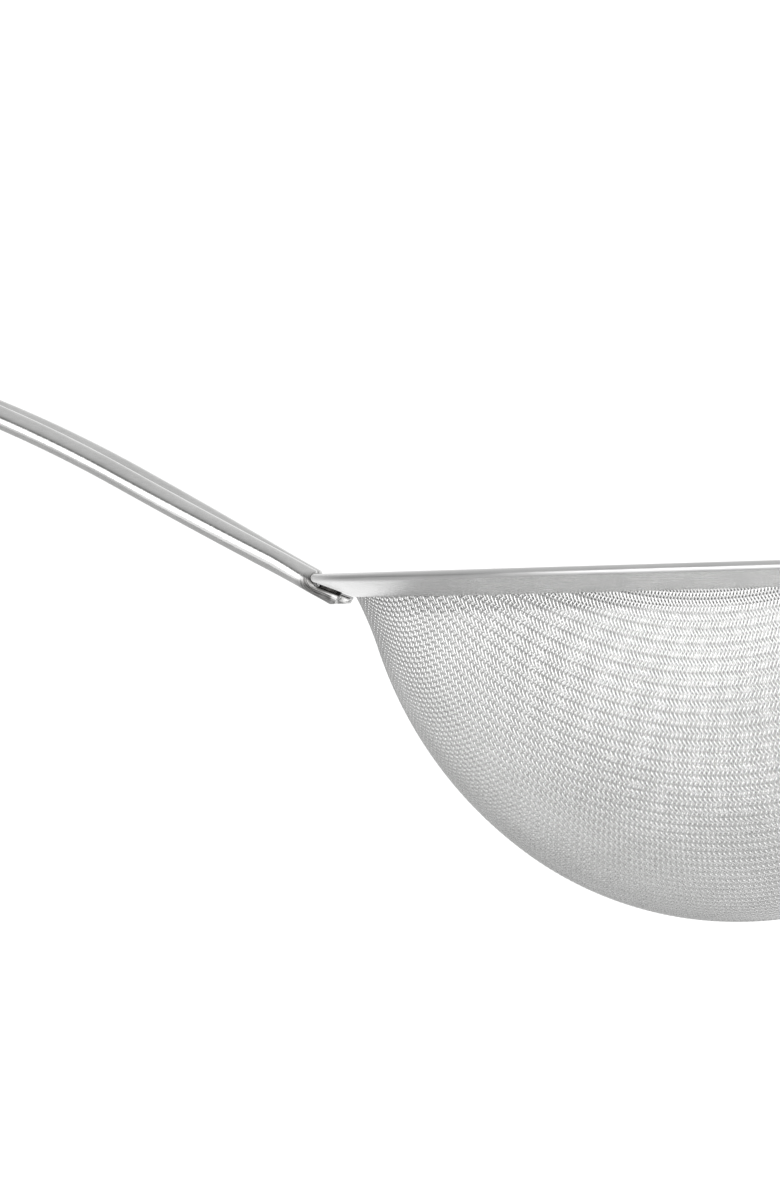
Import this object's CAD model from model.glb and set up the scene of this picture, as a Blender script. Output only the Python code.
"""Tea strainer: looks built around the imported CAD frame. Lengths are in mm up to the meshes."""

import math

import bmesh
import bpy
import numpy as np
from mathutils import Matrix, Vector


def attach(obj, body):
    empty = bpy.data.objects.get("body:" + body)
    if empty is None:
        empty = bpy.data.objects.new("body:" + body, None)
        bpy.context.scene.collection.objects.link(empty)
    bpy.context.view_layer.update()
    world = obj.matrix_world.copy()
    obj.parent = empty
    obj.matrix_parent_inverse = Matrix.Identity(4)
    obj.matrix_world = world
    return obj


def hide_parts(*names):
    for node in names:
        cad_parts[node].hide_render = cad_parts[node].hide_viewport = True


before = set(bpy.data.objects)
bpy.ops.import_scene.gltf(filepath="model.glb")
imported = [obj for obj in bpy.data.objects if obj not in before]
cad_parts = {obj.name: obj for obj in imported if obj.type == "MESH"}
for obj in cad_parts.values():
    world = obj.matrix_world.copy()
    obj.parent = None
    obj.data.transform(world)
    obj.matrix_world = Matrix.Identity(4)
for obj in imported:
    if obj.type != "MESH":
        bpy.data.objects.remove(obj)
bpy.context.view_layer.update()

MM = 0.001

# ---------------------------------------------------------------- dimensions
# the rim's rings and the section of the bowl, as in the CAD
RIM_R, THROAT_R, SLOPE = 45.0, 40.5, math.radians(22)
SHEET, FOLD_W, SKIRT, CLOTH_T, GAP = 0.15, 1.3, 1.75, 0.38, 0.02
CLOTH_O = SHEET + GAP
CLAMP_O = CLOTH_O + CLOTH_T + GAP
FOLD_O = CLAMP_O + SHEET + GAP
LIP_R = (FOLD_O + SHEET) / 2
ALONG = np.array([math.cos(SLOPE), math.sin(SLOPE)])
INWARD = np.array([-math.sin(SLOPE), math.cos(SLOPE)])
LIP_S = (RIM_R - LIP_R - THROAT_R + LIP_R * math.sin(SLOPE)) / math.cos(SLOPE)
LIP_END = LIP_S - 0.1   # closed end of the fold
TURN_R, FLARE_R, SIDE_R = 0.9, 36.5, 43.5
NECK_A, WALL_A, BASE_A = (math.radians(a) for a in (64.2, 73.5, 37.8))

PITCH = 0.42            # of the woven cloth
STRAND_R = 0.10         # radius of its wires
LIFT = 0.09             # how far a wire stands off the middle where it is on top
CRIMP = 0.5             # how much more of the crimp the wires round the bowl take
STRAND_SIDES = 6
HALF_TOP = 0.25         # half the top of a wire's wave, in pitches
FULL_CRIMP_R = 20.0     # radius where that unevenness, nothing at the pole, is full
CLOTH_EDGE = 2.2        # how far up the rim's slope the wires reach
CLOTH_PARTS = 7         # pieces for each of the two directions

RIM_STEPS = 480         # round the turned rings
RIM_EDGE_R, RING_EDGE_R = 0.07, 0.08

# the handle and its welds, as in the CAD
WIRE_R, PINCH, GRIP = 1.25, 2.7, 8.8
RISE, END_A = math.radians(30.5), math.radians(5)
LEVEL_R, TAIL = 150.0, 22.0
AXIS_X, AXIS_Z = 51.24, 5.28
NEAR_X, FAR_X, FLOOR_Z = 42.35, 41.6, -0.75
BEND_X, PART_L, PART_R = 46.4, 22.0, 14.0
PART_A = 2 * math.atan((GRIP - PINCH) / 2 / PART_L)
MERGE_R = PART_L / math.sin(PART_A) - PART_R
LIP_GAP, WELD_GAP = 0.12, 0.5
WELD_R, WELD_W, WELD_L = 43.45, 1.3, 2.1
WIRE_SIDES = 48
DRESSED = 0.12          # bevel on the cut ends of the wire


def face_pt(s, o):
    """Point on the rim's section: s up the sloping face, o behind it."""
    return np.array([THROAT_R, 0.0]) + s * ALONG + o * INWARD


def outer_arc(p, r, a, b, n):
    """Arc points and slopes from p, with the centre outside the bowl."""
    c = p + r * np.array([math.sin(a), -math.cos(a)])
    ts = a + (b - a) * np.arange(1, n + 1) / n
    return [(c + r * np.array([-math.sin(t), math.cos(t)]), t) for t in ts]


def inner_arc(p, r, a, b, n):
    """Arc points and slopes from p, with the centre inside the bowl."""
    c = p + r * np.array([-math.sin(a), math.cos(a)])
    ts = a + (b - a) * np.arange(1, n + 1) / n
    return [(c + r * np.array([math.sin(t), -math.cos(t)]), t) for t in ts]


def cloth_line():
    """Middle line of the cloth from inside the lip to the pole, as points with slopes.

    Also how many of them come before the side of the bowl.
    """
    o = CLOTH_O + CLOTH_T / 2
    line = [(face_pt(LIP_END - GAP, o), SLOPE), (face_pt(0.15, o), SLOPE)]
    line += outer_arc(line[-1][0], TURN_R, SLOPE, NECK_A, 40)
    line += outer_arc(line[-1][0], FLARE_R, NECK_A, WALL_A, 40)
    flared = len(line)
    line += inner_arc(line[-1][0], SIDE_R, WALL_A, BASE_A, 300)
    line += inner_arc(line[-1][0], line[-1][0][0] / math.sin(BASE_A), BASE_A, 0, 300)
    return line, flared


LINE, FLARED = cloth_line()


# ---------------------------------------------------------------- mesh helpers
def mesh_object(name, verts, faces, smooth=True):
    """A new object from vertices in mm and a list of faces."""
    me = bpy.data.meshes.new(name)
    me.from_pydata((np.asarray(verts) * MM).tolist(), [], faces)
    me.validate()
    if smooth:
        me.polygons.foreach_set("use_smooth", [True] * len(me.polygons))
    me.update()
    ob = bpy.data.objects.new(name, me)
    bpy.context.scene.collection.objects.link(ob)
    return ob


def mark_sharp(ob, degrees):
    """Edges that fold more than this stay crisp under smooth shading."""
    bm = bmesh.new()
    bm.from_mesh(ob.data)
    limit = math.radians(degrees)
    for e in bm.edges:
        e.smooth = not (len(e.link_faces) == 2 and e.calc_face_angle(0) > limit)
    bm.to_mesh(ob.data)
    bm.free()


def face_outwards(ob):
    """Turns the faces of a closed mesh so that they all point out of it."""
    bm = bmesh.new()
    bm.from_mesh(ob.data)
    bmesh.ops.recalc_face_normals(bm, faces=bm.faces)
    bm.to_mesh(ob.data)
    bm.free()


def apply_modifiers(ob):
    """Puts the modifiers' result into the mesh and removes them."""
    dg = bpy.context.evaluated_depsgraph_get()
    me = bpy.data.meshes.new_from_object(ob.evaluated_get(dg))
    ob.modifiers.clear()
    ob.data = me


def cut(ob, cutter):
    """Takes the cutter's shape out of an object, and the cutter out of the scene."""
    mod = ob.modifiers.new("cut", "BOOLEAN")
    mod.operation, mod.solver, mod.object = "DIFFERENCE", "EXACT", cutter
    apply_modifiers(ob)
    bpy.data.objects.remove(cutter)


def box(name, xs, ys, zs):
    """A box between two values each of x, y and z."""
    return mesh_object(name, [[x, y, z] for x in xs for y in ys for z in zs],
                       [(0, 1, 3, 2), (4, 6, 7, 5), (0, 4, 5, 1), (2, 3, 7, 6), (0, 2, 6, 4),
                        (1, 5, 7, 3)])


def lathe(name, section, steps, wobble=None):
    """Closed section (r, z) turned about Z. wobble(phi, point index) shifts (r, z)."""
    section = np.asarray(section, float)
    m = len(section)
    phi = np.arange(steps) * 2 * math.pi / steps
    verts = np.zeros((steps, m, 3))
    for k in range(m):
        r, z = np.full(steps, section[k, 0]), np.full(steps, section[k, 1])
        if wobble:
            dr, dz = wobble(phi, k)
            r, z = r + dr, z + dz
        verts[:, k] = np.stack([r * np.cos(phi), r * np.sin(phi), z], 1)
    faces = [(s * m + k, ((s + 1) % steps) * m + k, ((s + 1) % steps) * m + (k + 1) % m,
              s * m + (k + 1) % m) for s in range(steps) for k in range(m)]
    ob = mesh_object(name, verts.reshape(-1, 3), faces)
    face_outwards(ob)
    return ob


def rounded(points, radius, sharp, n=4):
    """The closed outline with the corners at the indices in sharp rounded, n steps each."""
    points = [np.asarray(p, float) for p in points]
    out = []
    for i, p in enumerate(points):
        if i not in sharp:
            out.append(p)
            continue
        a, b = points[i - 1] - p, points[(i + 1) % len(points)] - p
        a, b = a / np.linalg.norm(a), b / np.linalg.norm(b)
        half = math.acos(np.clip(a @ b, -1, 1)) / 2
        trim = radius / math.tan(half)
        mid = (a + b) / np.linalg.norm(a + b)
        c = p + mid * radius / math.sin(half)
        start, end = p + a * trim - c, p + b * trim - c
        turn = math.atan2(start[0] * end[1] - start[1] * end[0], start @ end)
        for k in range(n + 1):
            t = turn * k / n
            ct, st = math.cos(t), math.sin(t)
            out.append(c + [ct * start[0] - st * start[1], st * start[0] + ct * start[1]])
    return out


# ---------------------------------------------------------------- the rim
def rim_section():
    """Closed outline of the outer ring: the face, the round lip and the fold inside it."""
    c = face_pt(LIP_S, LIP_R)
    arc = [c + LIP_R * np.array([math.cos(t), math.sin(t)])
           for t in SLOPE - math.pi / 2 + math.pi * np.arange(29) / 28]
    face = [face_pt(s, 0) for s in np.linspace(0, LIP_S, 9)[:-1]]
    fold = [face_pt(LIP_S - s, 2 * LIP_R) for s in np.linspace(0, FOLD_W, 5)[1:]]
    rest = [face_pt(LIP_S - FOLD_W, FOLD_O), face_pt(LIP_END, FOLD_O),
            face_pt(LIP_END, SHEET), face_pt(0, SHEET)]
    points = face + arc + fold + rest
    n = len(points)
    tip = len(face) + len(arc) + len(fold) - 1
    return rounded(points, RIM_EDGE_R, {0, n - 1, tip, tip + 1})


def waves(phi, terms):
    """Sum of cosine waves round the rim, each given as count, height and phase."""
    return sum(a * np.cos(n * phi + p) for n, a, p in terms)


RIM_WAVES = [(3, .012, .4), (7, .010, 1.9), (11, .008, .7), (19, .007, 2.2), (31, .005, 5.1),
             (47, .004, 1.1)]
FOLD_WAVES = [(5, .02, 1.0), (13, .018, .3), (23, .016, 2.6), (37, .014, 4.4), (61, .010, .9)]

rim_points = rim_section()
FOLD_TIP = face_pt(LIP_S - FOLD_W, 2 * LIP_R)
FOLD_AT = np.array([abs((p - FOLD_TIP) @ ALONG) < 2 * SHEET
                    and (p - face_pt(0, 0)) @ INWARD > CLAMP_O + 0.1 for p in rim_points])


def rim_wobble(phi, k):
    """Slight dents of the pressed face, and an uneven edge of the rolled-in fold."""
    p = rim_points[k]
    s, o = (p - face_pt(0, 0)) @ ALONG, (p - face_pt(0, 0)) @ INWARD
    bulge = waves(phi, RIM_WAVES) * math.sin(math.pi * min(max(s / LIP_S, 0), 1))
    d = bulge * INWARD[:, None]
    if FOLD_AT[k]:
        d = d + waves(phi, FOLD_WAVES) * ALONG[:, None]
    return d[0], d[1]


def ring_section():
    """Closed outline of the clamp ring, which follows the cloth on its inside."""
    steps = [q for q in LINE[:FLARED] if q[0][1] > -SKIRT]
    normals = [np.array([math.sin(t), -math.cos(t)]) for _, t in steps]
    shift = CLOTH_T / 2 + GAP
    outer = [q[0] - shift * n for q, n in zip(steps, normals)]
    inner = [q[0] - (shift + SHEET) * n for q, n in zip(steps, normals)]
    points = outer + inner[::-1]
    return rounded(points, RING_EDGE_R, {0, len(outer) - 1, len(outer), len(points) - 1})


rim = lathe("rim_flange_rolled", rim_points, RIM_STEPS, rim_wobble)
ring = lathe("clamp_ring_pressed", ring_section(), RIM_STEPS)
mark_sharp(rim, 50)
mark_sharp(ring, 50)


# ---------------------------------------------------------------- the woven cloth
def height_table():
    """Radius, height and slope along the cloth's middle line, from the pole outwards."""
    line = LINE[::-1]
    return (np.array([q[0][0] for q in line]), np.array([q[0][1] for q in line]),
            np.array([q[1] for q in line]))


TAB_R, TAB_Z, TAB_T = height_table()
TAB_R[0] = 0.0          # the pole, without rounding error
CLOTH_TOP = float(face_pt(CLOTH_EDGE, CLOTH_O + CLOTH_T / 2)[0])


def surface(xy):
    """Height, slope and radius of the cloth's middle surface at plan positions."""
    r = np.hypot(xy[..., 0], xy[..., 1])
    return np.interp(r, TAB_R, TAB_Z), np.interp(r, TAB_R, TAB_T), r


def meridian_nodes():
    """Plan radii of nodes at chord PITCH apart up a meridian, starting at the pole."""
    radii, z0 = [0.0], TAB_Z[0]
    while True:
        lo, hi = radii[-1], radii[-1] + PITCH
        for _ in range(40):
            mid = (lo + hi) / 2
            dz = np.interp(mid, TAB_R, TAB_Z) - z0
            if math.hypot(mid - radii[-1], dz) < PITCH:
                lo = mid
            else:
                hi = mid
        if hi > CLOTH_TOP:
            return np.array(radii)
        radii.append(hi)
        z0 = np.interp(hi, TAB_R, TAB_Z)


def quarter_net():
    """Crossings of the cloth between two starting wires a quarter turn apart.

    Every cell keeps its four equal sides and only shears, as woven wire does when it is
    pressed into a bowl. Crossings past the cloth's edge are NaN. Each one is found from the
    three before it with Newton's method.
    """
    radii = meridian_nodes()
    n = len(radii)
    net = np.full((n, n, 2), np.nan)
    net[:, 0] = radii[:, None] * [math.cos(-math.pi / 4), math.sin(-math.pi / 4)]
    net[0, :] = radii[:, None] * [math.cos(math.pi / 4), math.sin(math.pi / 4)]
    for total in range(2, 2 * n - 1):
        i = np.arange(max(1, total - n + 1), min(n - 1, total - 1) + 1)
        j = total - i
        a, b, o = net[i - 1, j], net[i, j - 1], net[i - 1, j - 1]
        ok = ~np.isnan(a[:, 0] + b[:, 0] + o[:, 0])
        if not ok.any():
            break
        i, j, a, b, o = i[ok], j[ok], a[ok], b[ok], o[ok]
        p = a + b - o
        za, zb = surface(a)[0], surface(b)[0]
        for _ in range(12):
            z, t, r = surface(p)
            grad = np.tan(t)[:, None] * p / np.maximum(r, 1e-9)[:, None]
            fa = ((p - a) ** 2).sum(1) + (z - za) ** 2 - PITCH ** 2
            fb = ((p - b) ** 2).sum(1) + (z - zb) ** 2 - PITCH ** 2
            ja = 2 * (p - a) + 2 * (z - za)[:, None] * grad
            jb = 2 * (p - b) + 2 * (z - zb)[:, None] * grad
            det = ja[:, 0] * jb[:, 1] - ja[:, 1] * jb[:, 0]
            det = np.where(abs(det) < 1e-9, 1e-9, det)
            dx = (fa * jb[:, 1] - fb * ja[:, 1]) / det
            dy = (ja[:, 0] * fb - jb[:, 0] * fa) / det
            p = p - np.clip(np.stack([dx, dy], 1), -PITCH, PITCH)
        _, _, r = surface(p)
        inside = (r <= CLOTH_TOP) & (r > np.hypot(o[:, 0], o[:, 1]))
        net[i[inside], j[inside]] = p[inside]
    return net


def full_net():
    """The whole cloth as crossings (i, j), i and j from -n to n, with surface normals."""
    q = quarter_net()
    n = len(q) - 1
    plan = np.full((2 * n + 1, 2 * n + 1, 2), np.nan)
    i, j = np.meshgrid(np.arange(n + 1), np.arange(n + 1), indexing="ij")
    for k in range(4):
        c, s = [(1, 0), (0, 1), (-1, 0), (0, -1)][k]
        gi, gj = c * i - s * j, s * i + c * j
        x, y = q[..., 0], q[..., 1]
        plan[gi + n, gj + n] = np.stack([c * x - s * y, s * x + c * y], -1)
    z, t, r = surface(plan)
    safe = np.maximum(r, 1e-9)
    pos = np.concatenate([plan, z[..., None]], -1)
    nor = np.stack([np.sin(t) * plan[..., 0] / safe, np.sin(t) * plan[..., 1] / safe,
                    -np.cos(t)], -1)
    return pos, nor


def strands(pos, nor, sign):
    """One family of crimped wires, each as (points, normals of the cloth).

    The weave is a 2/2 twill: each wire passes over two and under two, and its ribs run
    along the handle's axis.
    """
    found = []
    n = pos.shape[0] // 2
    for w in range(pos.shape[0]):
        ok = np.flatnonzero(~np.isnan(pos[w, :, 0]))
        if len(ok) < 4:
            continue
        p, u = pos[w, ok], nor[w, ok]
        warp_on_top = ((w - ok if sign > 0 else ok - w) + 4 * n) % 4 < 2
        step = np.diff(p, axis=0)
        back = np.vstack([step[:1], step])
        ahead = np.vstack([step, step[-1:]])
        # pressing the bowl pulls the wires that run down it straight
        run = back + ahead
        run /= np.linalg.norm(run, axis=1)[:, None]
        radius = np.maximum(np.hypot(p[:, 0], p[:, 1]), 1e-9)
        across = (run[:, 1] * p[:, 0] - run[:, 0] * p[:, 1]) / radius
        share = 1 + CRIMP * (2 * across ** 2 - 1) * np.clip(radius / FULL_CRIMP_R, 0, 1)
        lift = np.where(warp_on_top, sign, -sign) * LIFT * share
        raised = p + lift[:, None] * u
        pts = np.stack([raised - HALF_TOP * back, raised + HALF_TOP * ahead], 1)
        found.append((pts.reshape(-1, 3), np.repeat(u, 2, axis=0)))
    return found


def cloth_piece(name, wires):
    """One mesh of many wires, with a bake layout that gives each wire its own strip."""
    verts, quads, uvs, cap_ids, cap_uv = [], [], [], [], []
    edge, margin = 0.01, 0.1      # left free at the ends of the layout and beside a strip
    width = 1 - 2 * margin
    length = 1 - 2 * edge
    k = STRAND_SIDES
    ang = np.arange(k) * 2 * math.pi / k + math.pi / k
    longest = max(len(p) for p, _ in wires)
    base = 0
    for row, (p, u) in enumerate(wires):
        m = len(p)
        t = np.gradient(p, axis=0)
        t /= np.linalg.norm(t, axis=1)[:, None]
        b = np.cross(t, u)
        b /= np.linalg.norm(b, axis=1)[:, None]
        v = np.cross(b, t)
        ring_v = (p[:, None] + STRAND_R * (np.cos(ang)[None, :, None] * b[:, None]
                                           + np.sin(ang)[None, :, None] * v[:, None]))
        verts.append(ring_v.reshape(-1, 3))
        g = base + np.arange(m - 1)[:, None] * k
        a, c = np.arange(k)[None, :], (np.arange(k)[None, :] + 1) % k
        quads.append(np.stack([g + a, g + c, g + k + c, g + k + a], -1).reshape(-1, 4))
        u0 = edge + length * np.arange(m - 1)[:, None] / longest + 0 * a
        u1 = u0 + length / longest
        v0 = (row + margin + width * a / k) / len(wires) + 0 * u0
        v1 = v0 + width / k / len(wires)
        uvs.append(np.stack([u0, v0, u0, v1, u1, v1, u1, v0], -1).reshape(-1, 2))
        for start, order, end_u in ((base, range(k), edge / 2),
                                    (base + (m - 1) * k, reversed(range(k)), 1 - edge / 2)):
            cap_ids += [start + x for x in order]
            cap_uv += [[end_u, (row + margin + width * x / k) / len(wires)] for x in range(k)]
        base += m * k
    verts, quads, uvs = np.concatenate(verts), np.concatenate(quads), np.concatenate(uvs)
    # faces wound so that normals point away from the wire's axis
    quads = quads[:, ::-1]
    uvs = uvs.reshape(-1, 4, 2)[:, ::-1].reshape(-1, 2)
    caps = 2 * len(wires)
    loops = np.concatenate([quads.ravel(), cap_ids]).astype(np.int32)
    starts = np.concatenate([np.arange(len(quads)) * 4,
                             len(quads) * 4 + np.arange(caps) * k]).astype(np.int32)
    totals = np.concatenate([np.full(len(quads), 4), np.full(caps, k)]).astype(np.int32)
    me = bpy.data.meshes.new(name)
    me.vertices.add(len(verts))
    me.vertices.foreach_set("co", (verts * MM).astype(np.float32).ravel())
    me.loops.add(len(loops))
    me.loops.foreach_set("vertex_index", loops)
    me.polygons.add(len(starts))
    me.polygons.foreach_set("loop_start", starts)
    me.polygons.foreach_set("loop_total", totals)
    me.polygons.foreach_set("use_smooth", np.ones(len(starts), bool))
    layer = me.uv_layers.new(name="OFBake")
    layer.data.foreach_set("uv", np.concatenate([uvs, cap_uv]).astype(np.float32).ravel())
    me.update(calc_edges=True)
    me.validate()
    ob = bpy.data.objects.new(name, me)
    bpy.context.scene.collection.objects.link(ob)
    return ob


def shared_out(wires, parts):
    """The wires in order, in runs of about equal total length."""
    size = np.array([len(p) for p, _ in wires])
    part = np.minimum((np.cumsum(size) - size / 2) * parts // size.sum(), parts - 1)
    return [[w for w, g in zip(wires, part) if g == k] for k in range(parts)]


def woven_cloth():
    """All the wires of the cloth, as pieces of warp and pieces of weft."""
    pos, nor = full_net()
    families = (("warp", strands(pos, nor, 1)),
                ("weft", strands(pos.transpose(1, 0, 2), nor.transpose(1, 0, 2), -1)))
    return [cloth_piece(f"cloth_{label}_{k + 1}", group)
            for label, family in families
            for k, group in enumerate(shared_out(family, CLOTH_PARTS))]


cloth = woven_cloth()


# ---------------------------------------------------------------- the handle wire
class Walker:
    """Lays out the centre line of the wire, one straight or bend after another."""

    def __init__(self, at, matrix):
        self.at, self.axes, self.points = np.array(at, float), np.array(matrix, float), []

    def rod(self, length, n):
        """A straight, with n points on it."""
        for k in range(n):
            self.points.append(self.at + self.axes[:, 0] * length * k / n)
        self.at = self.at + self.axes[:, 0] * length

    def bend(self, radius, angle, side, n, plane=1):
        """A bend towards an axis of its own (plane, 1 for y or 2 for z), side 1 or -1."""
        x, y = self.axes[:, 0].copy(), side * self.axes[:, plane].copy()
        for k in range(n + 1):
            t = angle * k / n
            p = self.at + radius * (math.sin(t) * x + (1 - math.cos(t)) * y)
            if k < n:
                self.points.append(p)
        self.at = p
        nx = math.cos(angle) * x + math.sin(angle) * y
        ny = -math.sin(angle) * x + math.cos(angle) * y
        self.axes[:, 0], self.axes[:, plane] = nx, side * ny


def leg(end_x):
    """Centre line of the near leg, from its cut end outwards, for a handle along +X."""
    c, s = math.cos(RISE), math.sin(RISE)
    drop = (AXIS_X - end_x) * math.tan(RISE)
    w = Walker([end_x, -PINCH / 2, AXIS_Z - drop], [[c, 0, -s], [0, 1, 0], [s, 0, c]])
    w.rod((BEND_X - end_x) / c, 14)
    w.bend(PART_R, PART_A, -1, 10)
    w.bend(MERGE_R, PART_A, 1, 24)
    w.bend(LEVEL_R, RISE - END_A, -1, 60, plane=2)
    w.rod(TAIL, 10)
    return w


def hairpin_line():
    """Centre line of the whole wire: out along the near leg and back along the far one."""
    near, far = leg(NEAR_X), leg(FAR_X)
    near.bend(GRIP / 2, math.pi, 1, 36)
    back = [p * [1, -1, 1] for p in far.points][::-1]
    return np.array(near.points + [near.at] + back) * [-1, 1, 1]


def tube(name, line, radius, sides):
    """A closed round wire swept along a line."""
    t = np.gradient(line, axis=0)
    t /= np.linalg.norm(t, axis=1)[:, None]
    u = np.zeros_like(t)
    prev = np.array([0.0, 0.0, 1.0])
    for k in range(len(t)):
        prev = prev - (prev @ t[k]) * t[k]
        prev /= np.linalg.norm(prev)
        u[k] = prev
    b = np.cross(t, u)
    ang = np.arange(sides) * 2 * math.pi / sides
    v = line[:, None] + radius * (np.cos(ang)[None, :, None] * b[:, None]
                                  + np.sin(ang)[None, :, None] * u[:, None])
    m = len(line)
    verts = v.reshape(-1, 3)
    faces = [(k * sides + a, (k + 1) * sides + a, (k + 1) * sides + (a + 1) % sides,
              k * sides + (a + 1) % sides) for k in range(m - 1) for a in range(sides)]
    faces += [tuple(range(sides)), tuple((m - 1) * sides + a for a in reversed(range(sides)))]
    return mesh_object(name, verts, faces)


def clearance_cutter():
    """Turned solid that clears the rim's face by the weld gap, and its lip by less."""
    c = face_pt(LIP_S, LIP_R)
    high, inside, n = 12.0, 8.0, 24
    low, arc = math.pi / 2 - SLOPE, []
    for t in -low + (low + math.radians(60)) * np.arange(n + 1) / n:
        gap = LIP_GAP + (WELD_GAP - LIP_GAP) * max(0, -t / low)
        arc.append(c + (LIP_R + gap) * np.array([math.cos(t), math.sin(t)]))
    top = [np.array([arc[-1][0], high]), np.array([THROAT_R - inside, high])]
    return lathe("cutter", [face_pt(-5, -WELD_GAP)] + arc + top, 720)


def hairpin():
    """The handle: notched for the rim, flat underneath, the far end cut upright."""
    wire = tube("handle_hairpin", hairpin_line(), WIRE_R, WIRE_SIDES)
    cut(wire, clearance_cutter())
    cut(wire, box("slab", (-46, -38), (-6, 6), (FLOOR_Z - 4, FLOOR_Z)))
    cut(wire, box("stop", (-FAR_X + 0.1, -36), (0.02, 6), (-6, 6)))
    bevel = wire.modifiers.new("dressed", "BEVEL")
    bevel.width, bevel.segments, bevel.limit_method = DRESSED * MM, 3, "ANGLE"
    bevel.angle_limit = math.radians(40)
    apply_modifiers(wire)
    wire.data.polygons.foreach_set("use_smooth", [True] * len(wire.data.polygons))
    mark_sharp(wire, 35)
    return wire


handle = hairpin()


# ---------------------------------------------------------------- the welds
def nugget(name, side):
    """Weld metal that fills the gap between a leg and the rim face, uneven at its edge."""
    turn = math.asin(PINCH / 2 / WELD_R)
    base = face_pt((WELD_R - THROAT_R) / math.cos(SLOPE), 0)
    sides, r0 = 56, WELD_W / 2
    # distance from the pad's middle line, in half widths, and way behind the face
    profile = [(0.0, 0.03), (0.6, 0.03), (0.9, 0.01), (1.04, -0.04), (0.98, -0.14),
               (0.94, -0.25), (0.98, -0.38), (1.06, -0.47), (0.9, -0.51), (0.6, -0.52),
               (0.0, -0.52)]
    ang = np.arange(sides) * 2 * math.pi / sides
    uneven = 1 + 0.05 * np.cos(3 * ang + side) + 0.04 * np.cos(5 * ang + 2) \
        + 0.03 * np.cos(9 * ang + side * 2)
    slot = (WELD_L - WELD_W) / 2 * np.tanh(2.5 * np.cos(ang))
    verts = []
    for rho, o in profile:
        r = np.maximum(rho * r0 * (uneven if rho > 0.6 else 1), 0.001)
        verts.append(np.stack([min(rho, 1) * slot + r * np.cos(ang), r * np.sin(ang),
                               np.full(sides, o)], 1))
    v = np.concatenate(verts)
    m = len(profile)
    faces = [(k * sides + a, k * sides + (a + 1) % sides, (k + 1) * sides + (a + 1) % sides,
              (k + 1) * sides + a) for k in range(m - 1) for a in range(sides)]
    faces += [tuple(reversed(range(sides))), tuple((m - 1) * sides + a for a in range(sides))]
    # local x runs up the slope, local z is the way behind the face
    x = v[:, 0] * ALONG[0] + v[:, 2] * INWARD[0] + base[0]
    z = v[:, 0] * ALONG[1] + v[:, 2] * INWARD[1] + base[1]
    phi = math.pi - side * turn
    pts = np.stack([x * math.cos(phi) - v[:, 1] * math.sin(phi),
                    x * math.sin(phi) + v[:, 1] * math.cos(phi), z], 1)
    ob = mesh_object(name, pts, faces)
    face_outwards(ob)
    return ob


weld_near = nugget("weld_nugget_near", -1)
weld_far = nugget("weld_nugget_far", 1)


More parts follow.
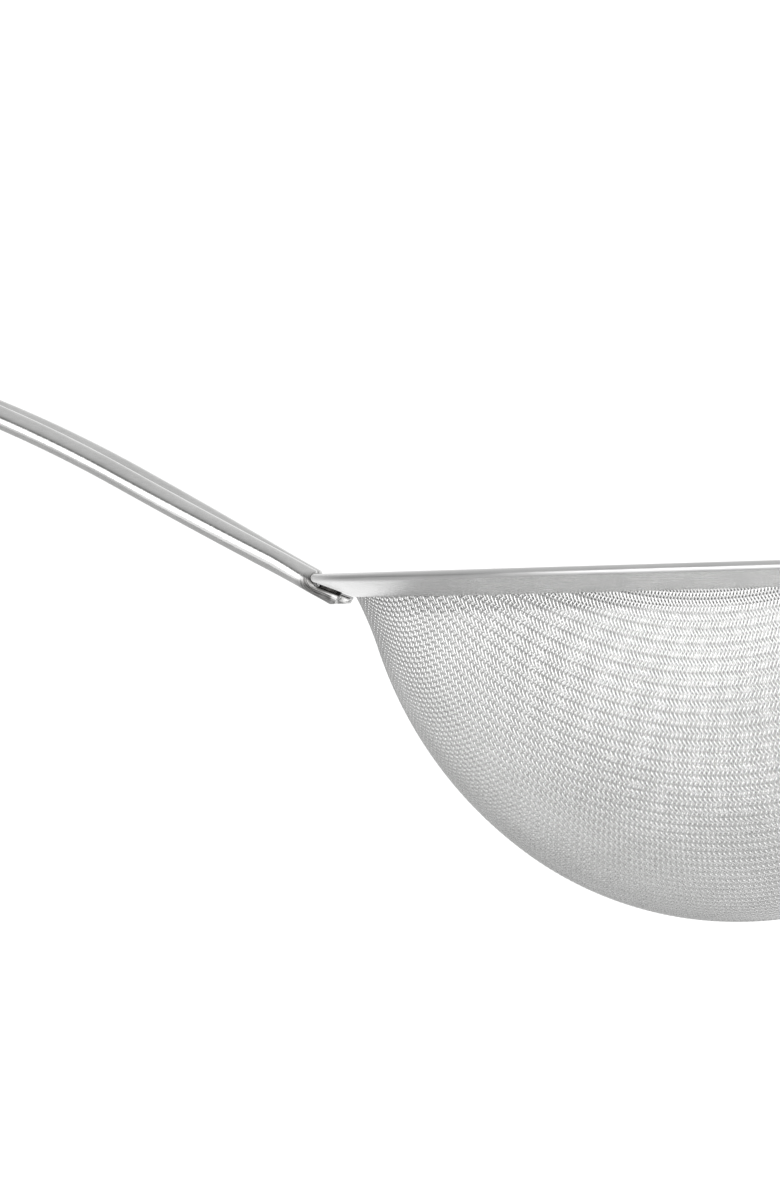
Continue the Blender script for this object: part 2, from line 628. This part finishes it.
# ---------------------------------------------------------------- materials
class Graph:
    """Short hand for building a node material."""

    def __init__(self, name):
        self.mat = bpy.data.materials.new(name)
        self.mat.use_nodes = True
        self.tree = self.mat.node_tree
        self.shader = self.tree.nodes["Principled BSDF"]

    def node(self, kind, **values):
        n = self.tree.nodes.new(kind)
        for key, value in values.items():
            setattr(n, key, value)
        return n

    def link(self, a, b):
        self.tree.links.new(a, b)

    def math(self, op, a, b=None):
        n = self.node("ShaderNodeMath", operation=op)
        for socket, value in zip(n.inputs, (a, b)):
            if value is None:
                continue
            if isinstance(value, (int, float)):
                socket.default_value = value
            else:
                self.link(value, socket)
        return n.outputs[0]

    def noise(self, vector, scale, detail=3.0, rough=0.5, distortion=0.0):
        n = self.node("ShaderNodeTexNoise")
        n.inputs["Scale"].default_value = scale
        n.inputs["Detail"].default_value = detail
        n.inputs["Roughness"].default_value = rough
        n.inputs["Distortion"].default_value = distortion
        self.link(vector, n.inputs["Vector"])
        return n.outputs["Fac"]

    def spread(self, value, low, high, to_low, to_high):
        n = self.node("ShaderNodeMapRange")
        n.inputs["From Min"].default_value = low
        n.inputs["From Max"].default_value = high
        n.inputs["To Min"].default_value = to_low
        n.inputs["To Max"].default_value = to_high
        self.link(value, n.inputs["Value"])
        return n.outputs["Result"]

    def ramp(self, value, stops):
        n = self.node("ShaderNodeValToRGB")
        while len(n.color_ramp.elements) < len(stops):
            n.color_ramp.elements.new(0.5)
        for e, (at, colour) in zip(n.color_ramp.elements, stops):
            e.position = at
            e.color = (*colour, 1)
        self.link(value, n.inputs["Fac"])
        return n.outputs["Color"]

    def mix(self, factor, a, b, blend="MIX"):
        """Colour a going over to b; b is an output or a plain colour."""
        n = self.node("ShaderNodeMix", data_type="RGBA", blend_type=blend)
        self.link(factor, n.inputs["Factor"])
        self.link(a, n.inputs["A"])
        if isinstance(b, tuple):
            n.inputs["B"].default_value = b
        else:
            self.link(b, n.inputs["B"])
        return n.outputs["Result"]

    def length(self, x, y):
        """Length of the vector (x, y)."""
        return self.math("SQRT", self.math("ADD", self.math("MULTIPLY", x, x),
                                           self.math("MULTIPLY", y, y)))

    def bump(self, height, strength, distance):
        n = self.node("ShaderNodeBump")
        n.inputs["Strength"].default_value = strength
        n.inputs["Distance"].default_value = distance
        self.link(height, n.inputs["Height"])
        self.link(n.outputs["Normal"], self.shader.inputs["Normal"])

    def object_mm(self):
        """Object coordinates in mm."""
        t = self.node("ShaderNodeTexCoord")
        m = self.node("ShaderNodeVectorMath", operation="SCALE")
        m.inputs["Scale"].default_value = 1000.0
        self.link(t.outputs["Object"], m.inputs[0])
        return m.outputs["Vector"]

    def turned(self, across, around):
        """Coordinates for turned metal: (radius, height) times across, angle times around."""
        s = self.node("ShaderNodeSeparateXYZ")
        self.link(self.object_mm(), s.inputs[0])
        x, y, z = s.outputs
        r = self.length(x, y)
        phi = self.math("ARCTAN2", y, x)
        c = self.node("ShaderNodeCombineXYZ")
        self.link(self.math("MULTIPLY", r, across), c.inputs[0])
        self.link(self.math("MULTIPLY", phi, around), c.inputs[1])
        self.link(self.math("MULTIPLY", z, across), c.inputs[2])
        return c.outputs[0]


def metal(name):
    """A material with a fully metallic shader and nothing else set."""
    g = Graph(name)
    g.shader.inputs["Metallic"].default_value = 1.0
    return g


LIP_FADE = 1.6, 1.9     # heights between which the face's looks go over into the lip's


def rim_metal(name, grey, rough, lip_rough):
    """Steel brushed round the rim; the rolled lip is duller than the face."""
    g = metal(name)
    streak = g.noise(g.turned(9.0, 6.0), 1.0, 4, 0.6)
    cloud = g.noise(g.object_mm(), 0.22, 4, 0.6, 0.4)
    mixed = g.math("ADD", g.math("MULTIPLY", streak, 0.55), g.math("MULTIPLY", cloud, 0.45))
    s = g.node("ShaderNodeSeparateXYZ")
    g.link(g.object_mm(), s.inputs[0])
    lip = g.spread(s.outputs["Z"], *LIP_FADE, 0.0, 1.0)
    shade = g.ramp(mixed, [(0.28, (grey * 0.88,) * 3),
                           (0.72, (grey * 1.06, grey * 1.06, grey * 1.055))])
    g.link(g.mix(lip, shade, (0.88, 0.88, 0.88, 1), "MULTIPLY"), g.shader.inputs["Base Color"])
    worn = g.math("MULTIPLY", lip, lip_rough - rough)
    g.link(g.math("ADD", worn, g.spread(mixed, 0.25, 0.75, rough - 0.05, rough + 0.07)),
           g.shader.inputs["Roughness"])
    g.bump(g.noise(g.turned(14.0, 5.0), 1.0, 5, 0.65), 0.35, 0.00002)
    return g.mat


def cloth_metal():
    """Bright drawn wire whose colour varies a little over the cloth."""
    g = metal("drawn_cloth_wire")
    at = g.object_mm()
    cloud = g.noise(at, 0.11, 4, 0.55)
    speck = g.noise(at, 2.3, 2, 0.5)
    mixed = g.math("ADD", g.math("MULTIPLY", cloud, 0.6), g.math("MULTIPLY", speck, 0.4))
    g.link(g.ramp(mixed, [(0.3, (0.81, 0.81, 0.805)), (0.7, (0.93, 0.93, 0.928))]),
           g.shader.inputs["Base Color"])
    g.link(g.spread(speck, 0.3, 0.7, 0.18, 0.30), g.shader.inputs["Roughness"])
    return g.mat


def handle_metal():
    """Drawn wire with fine lines, and dark press and heat marks at the welds."""
    g = metal("drawn_handle_wire")
    t = g.node("ShaderNodeTexCoord")
    m = g.node("ShaderNodeMapping")
    # the scale comes before the turn, so the fine lines run along X
    m.inputs["Rotation"].default_value = (0, math.radians(-26), 0)
    m.inputs["Scale"].default_value = (150, 4200, 4200)
    g.link(t.outputs["Object"], m.inputs["Vector"])
    streak = g.noise(m.outputs["Vector"], 1.0, 4, 0.6)
    at = g.object_mm()
    cloud = g.noise(at, 0.25, 3, 0.5)
    mixed = g.math("ADD", g.math("MULTIPLY", streak, 0.6), g.math("MULTIPLY", cloud, 0.4))
    clean = g.ramp(mixed, [(0.3, (0.62, 0.62, 0.615)), (0.7, (0.78, 0.78, 0.775))])
    # along is the way up the rim's face and d the way below the rim, both in mm
    xyz = g.node("ShaderNodeSeparateXYZ")
    g.link(at, xyz.inputs[0])
    x, y, z = (xyz.outputs[k] for k in "XYZ")
    r = g.length(x, y)
    dr = g.math("SUBTRACT", r, THROAT_R)
    along = g.math("ADD", g.math("MULTIPLY", dr, math.cos(SLOPE)),
                   g.math("MULTIPLY", z, math.sin(SLOPE)))
    below = g.math("SUBTRACT", g.math("MULTIPLY", dr, math.sin(SLOPE)),
                   g.math("MULTIPLY", z, math.cos(SLOPE)))
    c = face_pt(LIP_S, LIP_R)
    cr, cz = g.math("SUBTRACT", r, float(c[0])), g.math("SUBTRACT", z, float(c[1]))
    lip = g.math("SUBTRACT", g.length(cr, cz), LIP_R)
    past = g.spread(along, LIP_S - 0.3, LIP_S, 0.0, 1.0)
    d = g.math("ADD", below, g.math("MULTIPLY", past, g.math("SUBTRACT", lip, below)))
    # lines left by the press that flattened the end, running round the lip
    v = g.node("ShaderNodeCombineXYZ")
    g.link(g.math("MULTIPLY", along, 0.45), v.inputs[0])
    g.link(g.math("MULTIPLY", d, 7.0), v.inputs[1])
    g.link(g.math("MULTIPLY", y, 1.1), v.inputs[2])
    marks = g.noise(v.outputs[0], 1.0, 4, 0.6, 0.4)
    low = g.spread(z, 2.0, 2.9, 1.0, 0.0)
    near = g.spread(g.math("ADD", d, g.math("MULTIPLY", cloud, 0.6)), 1.7, 2.7, 1.0, 0.0)
    ends = g.math("MULTIPLY", g.spread(along, 5.9, 7.3, 1.0, 0.0),
                  g.spread(along, 2.35, 2.6, 0.55, 1.0))
    worked = g.math("MULTIPLY", g.math("MULTIPLY", near, low), ends)
    burnt = g.ramp(marks, [(0.36, (0.06, 0.059, 0.058)), (0.50, (0.20, 0.197, 0.193)),
                           (0.62, (0.46, 0.455, 0.45))])
    base = g.mix(worked, clean, burnt)
    # scale inside the notch and along its edge
    edge = g.math("ADD", 0.60, g.math("MULTIPLY", past, -0.26))
    soot = g.spread(g.math("SUBTRACT", d, edge), -0.02, 0.10, 1.0, 0.0)
    black = g.mix(g.math("MULTIPLY", soot, low), base, (0.03, 0.029, 0.028, 1))
    g.link(black, g.shader.inputs["Base Color"])
    dull = g.math("MULTIPLY", worked, 0.16)
    g.link(g.math("ADD", dull, g.spread(mixed, 0.3, 0.7, 0.09, 0.20)),
           g.shader.inputs["Roughness"])
    rough_end = g.math("MULTIPLY", g.math("MULTIPLY", worked, marks), 3.0)
    g.bump(g.math("ADD", streak, rough_end), 0.25, 0.00003)
    return g.mat


def weld_metal():
    """Dark, blotched scale."""
    g = metal("weld_scale")
    at = g.object_mm()
    blot = g.noise(at, 3.5, 5, 0.65)
    g.link(g.ramp(blot, [(0.30, (0.02, 0.019, 0.018)), (0.52, (0.08, 0.076, 0.072)),
                         (0.74, (0.30, 0.29, 0.28))]), g.shader.inputs["Base Color"])
    g.link(g.spread(blot, 0.3, 0.7, 0.35, 0.6), g.shader.inputs["Roughness"])
    g.bump(g.noise(at, 9.0, 4, 0.6), 0.5, 0.00004)
    return g.mat


def dress(ob, material, slot, *nodes):
    """Gives a piece its material and slot, its body and the CAD nodes it stands for."""
    ob.data.materials.clear()
    ob.data.materials.append(material)
    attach(ob, "root")
    if nodes:
        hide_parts(*nodes)


brushed = rim_metal("brushed_rim", grey=0.80, rough=0.25, lip_rough=0.36)
satin = rim_metal("satin_ring", grey=0.92, rough=0.45, lip_rough=0.45)
dress(rim, brushed, "rim_steel", "rim_flange")
dress(ring, satin, "ring_steel", "clamp_ring")
cloth_material = cloth_metal()
for k, piece in enumerate(cloth):
    dress(piece, cloth_material, "cloth_steel", *(["mesh_bowl"] if k == 0 else []))
dress(handle, handle_metal(), "wire_steel", "handle_wire")
weld_material = weld_metal()
dress(weld_near, weld_material, "weld_steel", "weld_near")
dress(weld_far, weld_material, "weld_steel", "weld_far")


# ---------------------------------------------------------------- studio
# the floor board, mm: it lies below the main view, and the metal reflects it and its edges
BOARD_X, BOARD_Y, BOARD_Z = (-500, 120), (-60, 190), -100.0

# the camera, m and degrees, placed to match the photograph
CAMERA_AT = (0.024106, -0.395281, 0.002679)
CAMERA_TOWARDS = (-0.15298, 0.98820, -0.00739)
CAMERA_ROLL = -1.71
CAMERA_LENS, SENSOR = 111.70, 36.0      # mm


def stage_floor():
    """A plain pale board for a floor, well below the object."""
    (left, right), (front, back) = BOARD_X, BOARD_Y
    corners = ((left, front), (right, front), (right, back), (left, back))
    verts = [[x, y, BOARD_Z] for x, y in corners]
    ob = mesh_object("studio_floor", verts, [(0, 1, 2, 3)], smooth=False)
    g = Graph("studio_floor")
    g.shader.inputs["Base Color"].default_value = (0.77, 0.77, 0.77, 1.0)
    g.shader.inputs["Roughness"].default_value = 0.9
    g.shader.inputs["Specular IOR Level"].default_value = 0.1
    ob.data.materials.append(g.mat)


def studio_sky():
    """White sky, softer overhead, dimmer towards the handle and in a band in front."""
    world = bpy.data.worlds.new("studio")
    bpy.context.scene.world = world
    world.use_nodes = True
    nt = world.node_tree
    back = nt.nodes["Background"]
    coord = nt.nodes.new("ShaderNodeTexCoord")
    sep = nt.nodes.new("ShaderNodeSeparateXYZ")
    nt.links.new(coord.outputs["Generated"], sep.inputs[0])

    def ramp(stops):
        """Brightness by height."""
        n = nt.nodes.new("ShaderNodeValToRGB")
        while len(n.color_ramp.elements) < len(stops):
            n.color_ramp.elements.new(0.5)
        for e, (at, v) in zip(n.color_ramp.elements, stops):
            e.position, e.color = at, (v, v, v, 1)
        nt.links.new(sep.outputs["Z"], n.inputs["Fac"])
        return n.outputs["Color"]

    def fade(axis, low, high):
        """Goes smoothly from 0 at low to 1 at high along an axis."""
        n = nt.nodes.new("ShaderNodeMapRange")
        n.interpolation_type = "SMOOTHSTEP"
        n.inputs["From Min"].default_value = low
        n.inputs["From Max"].default_value = high
        nt.links.new(sep.outputs[axis], n.inputs["Value"])
        return n.outputs["Result"]

    def mix(factor, a, b):
        n = nt.nodes.new("ShaderNodeMix")
        n.data_type = "RGBA"
        nt.links.new(factor, n.inputs["Factor"])
        nt.links.new(a, n.inputs["A"])
        nt.links.new(b, n.inputs["B"])
        return n.outputs["Result"]

    behind = ramp([(0.0, 1.0), (0.45, 1.0), (0.70, 0.72), (1.0, 0.60)])
    front = ramp([(0.0, 1.0), (0.06, 0.95), (0.11, 0.20), (0.24, 0.22), (0.42, 0.44),
                  (0.75, 0.58), (1.0, 0.62)])
    handle_side = ramp([(0.0, 0.28), (0.12, 0.32), (0.35, 0.54), (1.0, 0.52)])
    both = mix(fade("Y", -0.35, 0.35), front, behind)
    sky = mix(fade("X", -0.45, -0.80), both, handle_side)
    nt.links.new(sky, back.inputs["Color"])
    back.inputs["Strength"].default_value = 1.12


def soft_light(name, at, aim, size, power):
    """A rectangular light aimed at a point, m and W, not seen by the camera."""
    data = bpy.data.lights.new(name, "AREA")
    data.shape, data.size, data.size_y, data.energy = "RECTANGLE", size[0], size[1], power
    ob = bpy.data.objects.new(name, data)
    ob.location = at
    ob.rotation_mode = "QUATERNION"
    ob.rotation_quaternion = (Vector(aim) - Vector(at)).to_track_quat("-Z", "Y")
    ob.visible_camera = False
    bpy.context.scene.collection.objects.link(ob)


def camera():
    """Close to level with the rim, at the photograph's angle."""
    d = Vector(CAMERA_TOWARDS).normalized()
    right = d.cross(Vector((0, 0, 1))).normalized()
    up = right.cross(d)
    roll = math.radians(CAMERA_ROLL)
    r = math.cos(roll) * right + math.sin(roll) * up
    u = -math.sin(roll) * right + math.cos(roll) * up
    data = bpy.data.cameras.new("camera")
    data.lens, data.sensor_width = CAMERA_LENS, SENSOR
    data.clip_start, data.clip_end = 0.01, 50
    ob = bpy.data.objects.new("camera", data)
    rot = Matrix((r, u, -d)).transposed()
    ob.matrix_world = Matrix.Translation(CAMERA_AT) @ rot.to_4x4()
    bpy.context.scene.collection.objects.link(ob)
    bpy.context.scene.camera = ob


stage_floor()
studio_sky()
soft_light("front_low_fill", at=(-0.05, -0.30, -0.09), aim=(-0.04, 0, 0.0), size=(0.6, 0.2),
           power=0.45)
camera()
bpy.context.scene.view_settings.view_transform = "Standard"
